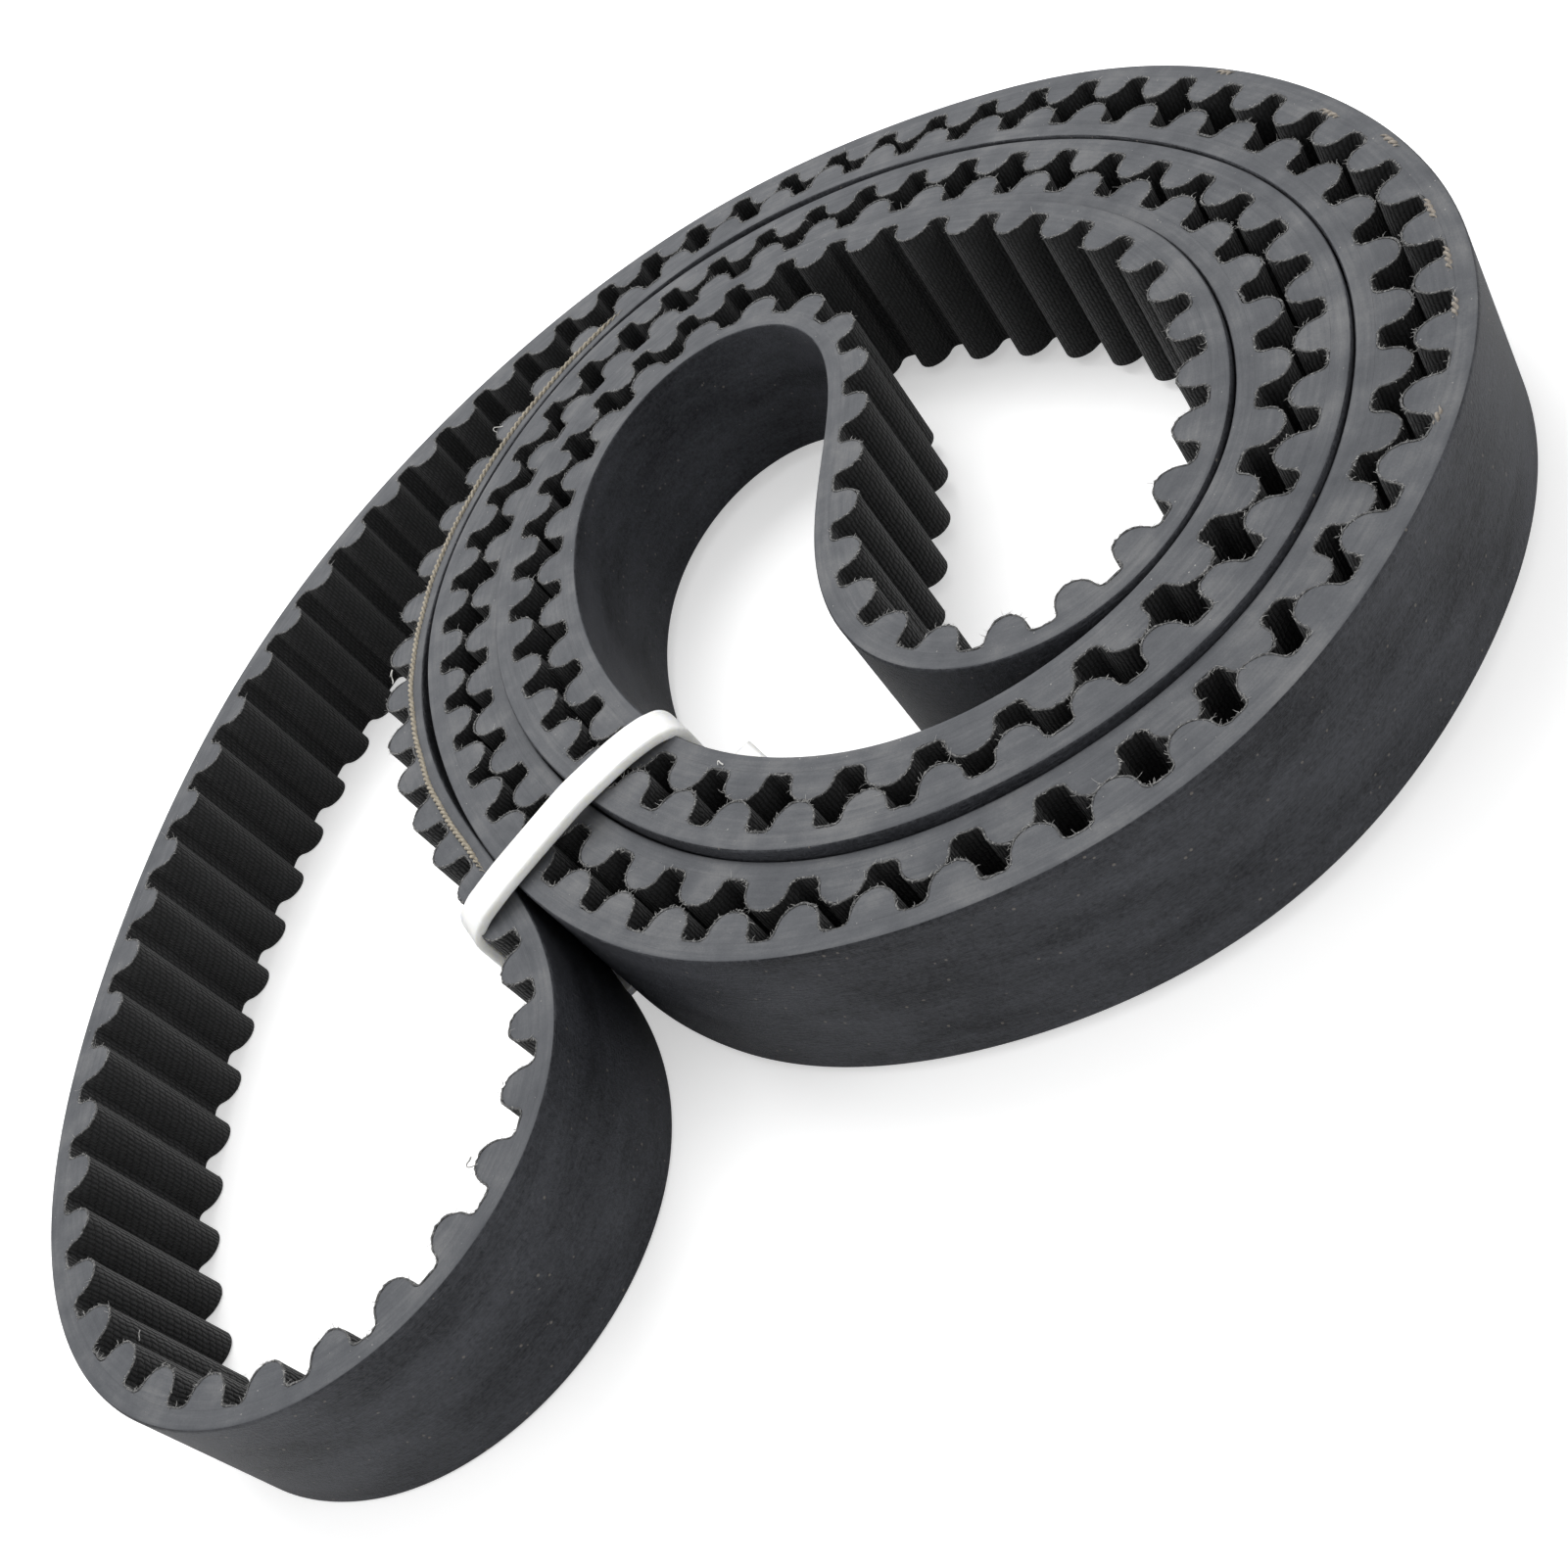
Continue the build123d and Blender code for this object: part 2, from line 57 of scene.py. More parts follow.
PITCH_LINE = [
    (-65.39, -74.23), (-71.15, -68.69), (-75.79, -62.19), (-79.35, -55.03), (-81.92, -47.46),
    (-83.63, -39.65), (-84.61, -31.71), (-84.98, -23.73), (-84.86, -15.73), (-84.30, -7.75),
    (-83.33, 0.19), (-81.94, 8.06), (-80.05, 15.83), (-77.60, 23.45), (-74.53, 30.83),
    (-70.81, 37.91), (-66.45, 44.61), (-61.50, 50.89), (-56.00, 56.69), (-50.02, 62.00),
    (-43.61, 66.79), (-36.83, 71.02), (-29.71, 74.65), (-22.28, 77.61), (-14.59, 79.82),
    (-6.72, 81.19), (1.27, 81.66), (9.25, 81.22), (17.15, 79.95), (24.90, 77.97),
    (32.47, 75.40), (39.84, 72.28), (46.93, 68.56), (53.59, 64.14), (59.71, 58.99),
    (65.22, 53.18), (70.09, 46.84), (74.33, 40.05), (77.92, 32.90), (80.85, 25.45),
    (83.07, 17.76), (84.49, 9.89), (85.00, 1.91), (84.42, -6.07), (82.67, -13.88),
    (79.76, -21.33), (75.87, -28.32), (71.17, -34.80), (65.77, -40.71), (59.64, -45.86),
    (52.77, -49.96), (45.30, -52.81), (37.45, -54.41), (29.46, -54.91), (21.46, -54.46),
    (13.57, -53.08), (5.93, -50.67), (-1.25, -47.13), (-7.79, -42.50), (-13.64, -37.03),
    (-18.86, -30.95), (-23.51, -24.42), (-27.58, -17.51), (-31.08, -10.30), (-34.04, -2.85),
    (-36.35, 4.83), (-37.82, 12.71), (-38.25, 20.71), (-37.50, 28.68), (-35.53, 36.45),
    (-32.45, 43.84), (-28.37, 50.74), (-23.32, 56.95), (-17.23, 62.14), (-10.18, 65.92),
    (-2.49, 68.15), (5.47, 68.98), (13.47, 68.67), (21.37, 67.34), (29.02, 65.00),
    (36.30, 61.67), (43.11, 57.46), (49.39, 52.49), (55.09, 46.87), (60.18, 40.69),
    (64.64, 34.03), (68.39, 26.96), (71.24, 19.48), (73.00, 11.67), (73.53, 3.69),
    (72.80, -4.28), (70.90, -12.06), (67.93, -19.49), (63.82, -26.35), (58.51, -32.33),
    (52.09, -37.08), (44.86, -40.50), (37.15, -42.63), (29.20, -43.53), (21.22, -43.11),
    (13.45, -41.25), (6.18, -37.92), (-0.38, -33.36), (-6.25, -27.93), (-11.51, -21.90),
    (-16.18, -15.40), (-20.16, -8.46), (-23.25, -1.09), (-25.34, 6.62), (-26.37, 14.55),
    (-26.33, 22.55), (-25.18, 30.46), (-22.74, 38.07), (-18.75, 44.98), (-13.16, 50.67),
    (-6.32, 54.77), (1.32, 57.09), (9.28, 57.63), (17.19, 56.54), (24.79, 54.09),
    (31.96, 50.58), (38.68, 46.25), (44.86, 41.20), (50.37, 35.42), (54.97, 28.90),
    (58.44, 21.71), (60.69, 14.05), (61.71, 6.13), (61.46, -1.85), (59.78, -9.65),
    (56.45, -16.90), (51.30, -22.97), (44.42, -26.94), (36.54, -27.83), (29.03, -25.26),
    (23.20, -19.86), (19.63, -12.74), (18.13, -4.90), (18.16, 3.09), (19.05, 11.03),
    (20.05, 18.97), (20.34, 26.95), (18.95, 34.80), (15.09, 41.75), (8.67, 46.39),
    (0.83, 47.47), (-6.63, 44.79), (-12.40, 39.33), (-16.13, 32.29), (-17.93, 24.53),
    (-18.14, 16.56), (-17.08, 8.65), (-14.99, 0.95), (-12.00, -6.45), (-8.15, -13.44),
    (-3.39, -19.84), (2.32, -25.40), (8.90, -29.90), (16.17, -33.18), (23.93, -35.02),
    (31.89, -35.16), (39.69, -33.53), (46.96, -30.26), (53.40, -25.55), (58.64, -19.55),
    (62.34, -12.49), (64.39, -4.79), (65.04, 3.16), (64.51, 11.12), (62.84, 18.92),
    (60.02, 26.39), (56.08, 33.33), (51.12, 39.58), (45.37, 45.12), (39.05, 49.99),
    (32.24, 54.17), (24.99, 57.52), (17.36, 59.87), (9.45, 60.93), (1.49, 60.46),
    (-6.21, 58.35), (-13.27, 54.64), (-19.30, 49.42), (-23.97, 42.96), (-27.15, 35.64),
    (-29.01, 27.87), (-29.73, 19.92), (-29.43, 11.93), (-28.13, 4.05), (-25.83, -3.60),
    (-22.58, -10.90), (-18.52, -17.78), (-13.82, -24.24), (-8.56, -30.26), (-2.70, -35.69),
    (3.81, -40.32), (10.96, -43.87), (18.62, -46.13), (26.56, -47.00), (34.53, -46.52),
    (42.34, -44.83), (49.81, -41.99), (56.71, -37.97), (62.75, -32.75), (67.71, -26.49),
    (71.55, -19.48), (74.34, -11.99), (76.12, -4.20), (76.80, 3.77), (76.29, 11.74),
    (74.62, 19.56), (71.91, 27.08), (68.32, 34.22), (64.02, 40.96), (59.10, 47.27),
    (53.60, 53.07), (47.52, 58.26), (40.93, 62.79), (33.90, 66.60), (26.51, 69.63),
    (18.82, 71.81), (10.91, 72.98), (2.92, 72.99), (-4.96, 71.68), (-12.49, 68.99),
    (-19.41, 65.01), (-25.55, 59.90), (-30.80, 53.88), (-35.10, 47.14), (-38.44, 39.88),
    (-40.78, 32.24), (-42.10, 24.35), (-42.37, 16.37), (-41.60, 8.41), (-39.83, 0.61),
    (-37.14, -6.91), (-33.67, -14.12), (-29.61, -21.01), (-25.24, -27.71), (-21.00, -34.49),
    (-17.48, -41.66), (-15.41, -49.37), (-15.36, -57.34), (-17.60, -64.99), (-21.96, -71.67),
    (-28.02, -76.86), (-35.24, -80.23), (-43.10, -81.63), (-51.05, -80.99), (-58.61, -78.44),
]

# how far each tooth of the coil stands above the lowest winding
LIFTS = [
    0.08, 0.08, 0.08, 0.08, 0.08, 0.07, 0.06, 0.05, 0.04, 0.03,
    0.02, 0.01, 0.00, 0.00, 0.00, 0.00, 0.01, 0.02, 0.03, 0.05,
    0.07, 0.10, 0.14, 0.18, 0.22, 0.27, 0.32, 0.37, 0.42, 0.48,
    0.55, 0.63, 0.73, 0.85, 0.99, 1.15, 1.32, 1.50, 1.67, 1.83,
    1.97, 2.09, 2.18, 2.25, 2.29, 2.30, 2.27, 2.21, 2.12, 2.01,
    1.87, 1.73, 1.59, 1.45, 1.33, 1.23, 1.14, 1.08, 1.03, 1.00,
    0.98, 0.98, 0.97, 0.97, 0.97, 0.96, 0.95, 0.94, 0.92, 0.90,
    0.87, 0.85, 0.82, 0.79, 0.75, 0.72, 0.68, 0.64, 0.60, 0.57,
    0.54, 0.51, 0.49, 0.48, 0.48, 0.48, 0.50, 0.52, 0.56, 0.62,
    0.69, 0.78, 0.88, 0.99, 1.11, 1.24, 1.37, 1.50, 1.62, 1.74,
    1.85, 1.95, 2.03, 2.10, 2.15, 2.18, 2.20, 2.20, 2.18, 2.15,
    2.12, 2.07, 2.02, 1.97, 1.91, 1.85, 1.78, 1.72, 1.65, 1.59,
    1.52, 1.45, 1.37, 1.30, 1.22, 1.15, 1.08, 1.02, 0.97, 0.94,
    0.92, 0.94, 0.97, 1.03, 1.12, 1.22, 1.34, 1.47, 1.60, 1.72,
    1.84, 1.94, 2.01, 2.06, 2.08, 2.07, 2.04, 1.99, 1.92, 1.83,
    1.73, 1.64, 1.54, 1.44, 1.35, 1.26, 1.17, 1.09, 1.01, 0.93,
    0.85, 0.76, 0.69, 0.62, 0.56, 0.52, 0.48, 0.46, 0.45, 0.45,
    0.45, 0.46, 0.47, 0.48, 0.48, 0.49, 0.50, 0.51, 0.52, 0.54,
    0.55, 0.57, 0.59, 0.61, 0.62, 0.64, 0.65, 0.66, 0.66, 0.65,
    0.65, 0.63, 0.62, 0.60, 0.58, 0.57, 0.55, 0.53, 0.52, 0.50,
    0.48, 0.46, 0.43, 0.41, 0.40, 0.39, 0.39, 0.39, 0.41, 0.43,
    0.46, 0.50, 0.54, 0.58, 0.62, 0.67, 0.71, 0.75, 0.78, 0.81,
    0.83, 0.84, 0.83, 0.82, 0.78, 0.74, 0.69, 0.64, 0.58, 0.53,
    0.47, 0.41, 0.35, 0.29, 0.23, 0.18, 0.14, 0.10, 0.07, 0.04,
    0.03, 0.02, 0.02, 0.02, 0.03, 0.04, 0.05, 0.06, 0.06, 0.07,
]

P = np.array(PITCH_LINE)
LIFT = np.array(LIFTS)


def periodic_cubic(pts):
    """Tangents of the closed cubic spline through pts with unit knot spacing."""
    n = len(pts)
    a = np.zeros((n, n))
    for i in range(n):
        a[i, i] = 4.0
        a[i, (i - 1) % n] = 1.0
        a[i, (i + 1) % n] = 1.0
    r = 3.0 * (np.roll(pts, -1, 0) - np.roll(pts, 1, 0))
    return np.linalg.solve(a, r)


DATA = np.column_stack([P, LIFT])
TAN = periodic_cubic(DATA)


def hermite(k):
    k = np.asarray(k, float) % TEETH
    i = np.floor(k).astype(int) % TEETH
    t = (k - np.floor(k))[:, None]
    p0, p1, m0, m1 = DATA[i], DATA[(i + 1) % TEETH], TAN[i], TAN[(i + 1) % TEETH]
    q = (2*t**3 - 3*t**2 + 1)*p0 + (t**3 - 2*t**2 + t)*m0 + (-2*t**3 + 3*t**2)*p1 + (t**3 - t**2)*m1
    d = (6*t**2 - 6*t)*p0 + (3*t**2 - 4*t + 1)*m0 + (-6*t**2 + 6*t)*p1 + (3*t**2 - 2*t)*m1
    return q, d


def at(k, off=0.0):
    """Point off millimetres towards the teeth from the pitch line, and the winding's lift there."""
    q, d = hermite(k)
    t = d[:, :2] / np.linalg.norm(d[:, :2], axis=1)[:, None]
    n = np.column_stack([t[:, 1], -t[:, 0]])
    return q[:, :2] + np.asarray(off, float).reshape(-1, 1) * n, q[:, 2], t, n


E = np.array([math.cos(math.radians(TIE_ANGLE)), math.sin(math.radians(TIE_ANGLE))])
B = np.array([-E[1], E[0]])
C = np.array(TIE_C)


def belt_xyz(k, off, z):
    """Belt point with the winding's lift, and the lower edge relieved over the strap."""
    off = np.broadcast_to(np.asarray(off, float), k.shape)
    q, lift, _, _ = at(k, off)
    z = np.broadcast_to(np.asarray(z, float), k.shape) + lift
    rel = q - C
    a, b = rel @ E, rel @ B
    under = (np.abs(b) < TIE_W / 2 + 0.25) & (np.abs(a) < 22)
    z = np.where(under & (z < BED), BED, z)
    return np.column_stack([q, z])


def grid_mesh(name, rows, uv, mats, seg_mat, closed=True, smooth=True, sharp=38):
    """Mesh from profile rows, each (stations, 3) mm; the profile closes on itself."""
    m, n = len(rows[0]), len(rows)
    co = np.stack(rows, 1).reshape(-1, 3) / 1000.0
    steps = m if closed else m - 1
    i = np.arange(steps)[:, None]
    j = np.arange(n)[None, :]
    i2, j2 = (i + 1) % m, (j + 1) % n
    f = np.stack([i * n + j, i2 * n + j, i2 * n + j2, i * n + j2], 2).reshape(-1, 4)
    uvs = np.zeros((steps, n, 4, 2))
    s, v = uv
    s2 = np.r_[s, s[-1] + (s[1] - s[0])] if closed else s
    vv = np.column_stack([v, v[:, -1] + 0.2]) if v.ndim == 2 else np.r_[v, v[-1] + 0.2]
    if v.ndim == 1:
        vv = np.broadcast_to(vv, (m, n + 1))
    for c, (di, dj) in enumerate(((0, 0), (1, 0), (1, 1), (0, 1))):
        uvs[:, :, c, 0] = (s2[di:di + steps])[:, None]
        vr = vv[(np.arange(steps) + di) % m]
        uvs[:, :, c, 1] = vr[:, dj:dj + n]
    uvs = uvs.reshape(-1, 4, 2)
    mi = np.broadcast_to(np.array(seg_mat), (steps, n)).reshape(-1)
    if not closed:
        for end, r in ((0, 1), (m - 1, -1)):
            pass
    a, b2, c2 = co[f[:, 0]], co[f[:, 1]], co[f[:, 2]]
    d2 = co[f[:, 3]]
    vol = (np.einsum("ij,ij->i", a, np.cross(b2, c2)) + np.einsum("ij,ij->i", a, np.cross(c2, d2))).sum()
    if vol < 0:
        f = f[:, ::-1]
        uvs = uvs[:, ::-1]
    faces = f.tolist()
    loops_uv = uvs.reshape(-1, 2)
    if not closed:
        caps = [list(range(n)), list(range((m - 1) * n, m * n))]
        caps[0 if vol >= 0 else 1].reverse()
        faces += caps
        loops_uv = np.vstack([loops_uv, np.zeros((2 * n, 2))])
        mi = np.r_[mi, [0, 0]]
    me = bpy.data.meshes.new(name)
    me.from_pydata(co.tolist(), [], faces)
    layer = me.uv_layers.new(name="belt")
    layer.data.foreach_set("uv", loops_uv.astype(np.float32).ravel())
    me.polygons.foreach_set("material_index", mi.astype(np.int32))
    me.polygons.foreach_set("use_smooth", np.full(len(me.polygons), smooth))
    for mt in mats:
        me.materials.append(mt)
    me.update()
    if sharp:
        me.set_sharp_from_angle(angle=math.radians(sharp))
    o = bpy.data.objects.new(name, me)
    bpy.context.scene.collection.objects.link(o)
    return o


def tubes_mesh(name, paths, radii, sides, mat, twist=0.0):
    """Many small tubes in one mesh. paths: list of (n,3) mm, radii: list of (n,)."""
    verts, faces = [], []
    base = 0
    for p, r in zip(paths, radii):
        p = np.asarray(p, float)
        n = len(p)
        d = np.gradient(p, axis=0)
        d /= np.linalg.norm(d, axis=1)[:, None] + 1e-12
        ref = np.array([0, 0, 1.0]) if abs(d[0][2]) < 0.9 else np.array([1.0, 0, 0])
        u = np.cross(d, ref)
        u /= np.linalg.norm(u, axis=1)[:, None] + 1e-12
        w = np.cross(d, u)
        for c in range(sides):
            ang = 2 * math.pi * c / sides
            ring = p + (math.cos(ang) * u + math.sin(ang) * w) * np.asarray(r)[:, None]
            verts.append(ring)
        for i in range(n - 1):
            for c in range(sides):
                c2 = (c + 1) % sides
                faces.append((base + c * n + i, base + c * n + i + 1, base + c2 * n + i + 1, base + c2 * n + i))
        faces.append(tuple(base + c * n for c in range(sides)))
        faces.append(tuple(base + c * n + n - 1 for c in range(sides))[::-1])
        base += n * sides
    co = np.vstack(verts) / 1000.0
    me = bpy.data.meshes.new(name)
    me.from_pydata(co.tolist(), [], faces)
    me.polygons.foreach_set("use_smooth", np.ones(len(me.polygons), bool))
    me.materials.append(mat)
    me.update()
    o = bpy.data.objects.new(name, me)
    bpy.context.scene.collection.objects.link(o)
    return o


# ---------------------------------------------------------------- materials
def new_mat(name):
    m = bpy.data.materials.new(name)
    m.use_nodes = True
    nt = m.node_tree
    bsdf = next(n for n in nt.nodes if n.type == "BSDF_PRINCIPLED")
    return m, nt, bsdf


class G:
    """Short hand for building node graphs."""
    def __init__(self, nt):
        self.nt = nt

    def node(self, kind, **kw):
        n = self.nt.nodes.new(kind)
        for k, v in kw.items():
            setattr(n, k, v)
        return n

    def link(self, a, b):
        self.nt.links.new(a, b)

    def put(self, v, socket):
        if hasattr(v, "links") or hasattr(v, "is_linked"):
            self.link(v, socket)
        else:
            socket.default_value = v

    def math(self, op, a, b=None, c=None, clamp=False):
        n = self.node("ShaderNodeMath", operation=op, use_clamp=clamp)
        self.put(a, n.inputs[0])
        if b is not None:
            self.put(b, n.inputs[1])
        if c is not None:
            self.put(c, n.inputs[2])
        return n.outputs[0]

    def uv(self):
        return self.node("ShaderNodeUVMap", uv_map="belt").outputs[0]

    def obj(self):
        return self.node("ShaderNodeTexCoord").outputs["Object"]

    def mapping(self, vec, scale=(1, 1, 1), rot=(0, 0, 0), loc=(0, 0, 0)):
        n = self.node("ShaderNodeMapping")
        self.link(vec, n.inputs["Vector"])
        n.inputs["Scale"].default_value = scale
        n.inputs["Rotation"].default_value = rot
        n.inputs["Location"].default_value = loc
        return n.outputs[0]

    def noise(self, vec, scale, detail=4.0, rough=0.55, dist=0.0):
        n = self.node("ShaderNodeTexNoise")
        self.link(vec, n.inputs["Vector"])
        n.inputs["Scale"].default_value = scale
        n.inputs["Detail"].default_value = detail
        n.inputs["Roughness"].default_value = rough
        n.inputs["Distortion"].default_value = dist
        return n.outputs["Fac"]

    def voronoi(self, vec, scale, feature="F1"):
        n = self.node("ShaderNodeTexVoronoi", feature=feature)
        self.link(vec, n.inputs["Vector"])
        n.inputs["Scale"].default_value = scale
        return n

    def ramp(self, fac, stops):
        n = self.node("ShaderNodeValToRGB")
        self.link(fac, n.inputs[0])
        els = n.color_ramp.elements
        while len(els) > 1:
            els.remove(els[-1])
        els[0].position = stops[0][0]
        els[0].color = stops[0][1]
        for p, c in stops[1:]:
            e = els.new(p)
            e.color = c
        return n.outputs[0]

    def mix(self, fac, a, b, mode="MIX"):
        n = self.node("ShaderNodeMix", data_type="RGBA", blend_type=mode)
        self.put(fac, n.inputs[0])
        self.put(a, n.inputs[6])
        self.put(b, n.inputs[7])
        return n.outputs[2]

    def rng(self, v, a, b, c, d):
        n = self.node("ShaderNodeMapRange")
        self.link(v, n.inputs["Value"])
        for s, x in zip(("From Min", "From Max", "To Min", "To Max"), (a, b, c, d)):
            n.inputs[s].default_value = x
        return n.outputs[0]

    def bump(self, h, strength, dist, normal=None):
        n = self.node("ShaderNodeBump")
        self.link(h, n.inputs["Height"])
        n.inputs["Strength"].default_value = strength
        n.inputs["Distance"].default_value = dist
        if normal is not None:
            self.link(normal, n.inputs["Normal"])
        return n.outputs[0]


def g(v, t=(1, 1, 1)):
    return (v * t[0], v * t[1], v * t[2], 1.0)


def mat_cut():
    m, nt, b = new_mat("cut_rubber")
    q = G(nt)
    uv = q.uv()
    streak = q.noise(q.mapping(uv, (0.09, 1.7, 1)), 1.0, 5, 0.6, 0.4)
    fine = q.noise(q.mapping(uv, (0.6, 7.0, 1)), 1.0, 3, 0.6, 0.6)
    blot = q.noise(q.mapping(q.obj(), (1000, 1000, 1000)), 0.16, 4, 0.6)
    grain = q.noise(q.mapping(q.obj(), (1000, 1000, 1000)), 5.0, 2, 0.6)
    v = q.math("ADD", q.math("MULTIPLY", streak, 0.36), q.math("MULTIPLY", fine, 0.17))
    v = q.math("ADD", v, q.math("MULTIPLY", blot, 0.72))
    v = q.math("ADD", v, q.math("MULTIPLY", grain, 0.20))
    v = q.math("SUBTRACT", v, 0.10)
    col = q.ramp(v, [(0.42, g(CUT_LO, (0.93, 0.99, 1.12))), (0.62, g(CUT_MID, (0.95, 0.99, 1.08))),
                     (0.86, g(CUT_HI, (0.99, 1.0, 1.02)))])
    # small pale crumbs pressed into the cut
    vor = q.voronoi(q.mapping(q.obj(), (1000, 1000, 1000)), 1.1)
    dot = q.math("LESS_THAN", vor.outputs["Distance"], 0.085)
    pick = q.math("GREATER_THAN", q.noise(q.mapping(q.obj(), (1000, 1000, 1000)), 0.7, 1), 0.62)
    col = q.mix(q.math("MULTIPLY", q.math("MULTIPLY", dot, pick), 0.7), col, (0.38, 0.37, 0.35, 1))
    q.link(col, b.inputs["Base Color"])
    q.link(q.rng(fine, 0.3, 0.7, 0.62, 0.82), b.inputs["Roughness"])
    b.inputs["Specular IOR Level"].default_value = 0.35
    h = q.math("ADD", q.math("MULTIPLY", fine, 0.6), q.math("MULTIPLY", grain, 0.4))
    q.link(q.bump(h, 0.35, 0.00012), b.inputs["Normal"])
    return m


def mat_back():
    m, nt, b = new_mat("back_rubber")
    q = G(nt)
    uv = q.uv()
    mm = q.mapping(q.obj(), (1000, 1000, 1000))
    cloud = q.noise(q.mapping(uv, (0.05, 0.16, 1)), 1.0, 5, 0.62)
    grind = q.noise(q.mapping(uv, (0.5, 4.5, 1)), 1.0, 4, 0.6)
    grain = q.noise(mm, 2.2, 4, 0.75)
    v = q.math("ADD", q.math("MULTIPLY", cloud, 0.55), q.math("MULTIPLY", grind, 0.2))
    v = q.math("ADD", v, q.math("MULTIPLY", grain, 0.5))
    v = q.math("SUBTRACT", v, 0.10)
    col = q.ramp(v, [(0.38, g(BACK_LO, (0.9, 0.98, 1.25))), (0.74, g(BACK_HI, (0.93, 0.99, 1.19)))])
    vor = q.voronoi(mm, 0.75)
    dot = q.math("LESS_THAN", vor.outputs["Distance"], 0.12)
    pick = q.math("GREATER_THAN", q.noise(mm, 0.5, 1), 0.54)
    col = q.mix(q.math("MULTIPLY", q.math("MULTIPLY", dot, pick), 0.6), col, (0.20, 0.18, 0.155, 1))
    q.link(col, b.inputs["Base Color"])
    q.link(q.rng(v, 0.35, 0.75, 0.46, 0.66), b.inputs["Roughness"])
    q.link(q.rng(v, 0.40, 0.78, 0.22, 0.62), b.inputs["Specular IOR Level"])
    h = q.math("ADD", q.math("MULTIPLY", grain, 0.7), q.math("MULTIPLY", grind, 0.5))
    q.link(q.bump(h, 1.0, 0.0004), b.inputs["Normal"])
    return m


def mat_facing():
    m, nt, b = new_mat("tooth_fabric")
    q = G(nt)
    uv = q.uv()
    sep = q.node("ShaderNodeSeparateXYZ")
    q.link(uv, sep.inputs[0])
    u, v = sep.outputs[0], sep.outputs[1]
    wob = q.noise(q.mapping(uv, (0.7, 0.7, 1)), 1.0, 2)
    ug = q.math("ADD", u, q.math("MULTIPLY", q.math("SUBTRACT", wob, 0.5), 0.5))
    tw = 2 * math.pi
    # weft rows across the belt, each row's floats stepped on from the last
    rowf = q.math("DIVIDE", ug, 0.46)
    row = q.math("FLOOR", rowf)
    across = q.math("SINE", q.math("MULTIPLY", q.math("FRACT", rowf), math.pi))
    cell = q.math("FRACT", q.math("ADD", q.math("DIVIDE", v, 1.05), q.math("MULTIPLY", row, 0.3)))
    flt = q.math("POWER", q.math("SINE", q.math("MULTIPLY", cell, math.pi)), 0.45)
    h = q.math("SUBTRACT", q.math("MULTIPLY", q.math("MULTIPLY", across, flt), 1.5), 0.6)
    fib = q.noise(q.mapping(uv, (12, 5, 1)), 1.0, 2)
    h2 = q.math("ADD", h, q.math("MULTIPLY", fib, 0.4))
    blot = q.noise(q.mapping(uv, (0.12, 0.2, 1)), 1.0, 3)
    f = q.math("ADD", q.rng(h2, -0.5, 1.2, 0.0, 0.85), q.math("MULTIPLY", q.math("SUBTRACT", blot, 0.5), 0.5))
    col = q.ramp(f, [(0.12, g(FAB_LO)), (0.55, g(FAB_MID, (0.97, 1.0, 1.05))), (0.95, g(FAB_HI, (0.98, 1.0, 1.04)))])
    q.link(col, b.inputs["Base Color"])
    b.inputs["Roughness"].default_value = 0.72
    b.inputs["Specular IOR Level"].default_value = 0.3
    b.inputs["Sheen Weight"].default_value = 0.12
    b.inputs["Sheen Roughness"].default_value = 0.5
    q.link(q.bump(h2, 0.75, 0.00014), b.inputs["Normal"])
    return m


def mat_tie():
    m, nt, b = new_mat("natural_nylon")
    q = G(nt)
    mm = q.mapping(q.obj(), (1000, 1000, 1000))
    n = q.noise(mm, 0.35, 3)
    q.link(q.ramp(n, [(0.3, (0.86, 0.86, 0.82, 1)), (0.7, (0.95, 0.95, 0.93, 1))]), b.inputs["Base Color"])
    q.link(q.rng(n, 0.3, 0.7, 0.22, 0.36), b.inputs["Roughness"])
    b.inputs["Subsurface Weight"].default_value = 0.55
    b.inputs["Subsurface Radius"].default_value = (1.0, 0.95, 0.75)
    b.inputs["Subsurface Scale"].default_value = 0.0018
    b.inputs["IOR"].default_value = 1.5
    q.link(q.bump(q.noise(mm, 1.6, 2), 0.12, 0.00015), b.inputs["Normal"])
    return m


def mat_thread(name, lo, hi, rough=0.75):
    m, nt, b = new_mat(name)
    q = G(nt)
    mm = q.mapping(q.obj(), (1000, 1000, 1000))
    n = q.noise(mm, 2.5, 3)
    q.link(q.ramp(n, [(0.3, lo), (0.7, hi)]), b.inputs["Base Color"])
    b.inputs["Roughness"].default_value = rough
    q.link(q.bump(q.noise(mm, 9, 2), 0.3, 0.00005), b.inputs["Normal"])
    return m


def mat_rim():
    m, nt, b = new_mat("facing_cut_rim")
    q = G(nt)
    mm = q.mapping(q.obj(), (1000, 1000, 1000))
    n = q.noise(mm, 3.2, 4, 0.7)
    q.link(q.ramp(n, [(0.42, g(0.045)), (0.56, g(0.12)), (0.72, g(0.34, (1, 0.99, 0.97)))]), b.inputs["Base Color"])
    b.inputs["Roughness"].default_value = 0.85
    q.link(q.bump(q.noise(mm, 6.0, 3), 0.8, 0.0001), b.inputs["Normal"])
    return m


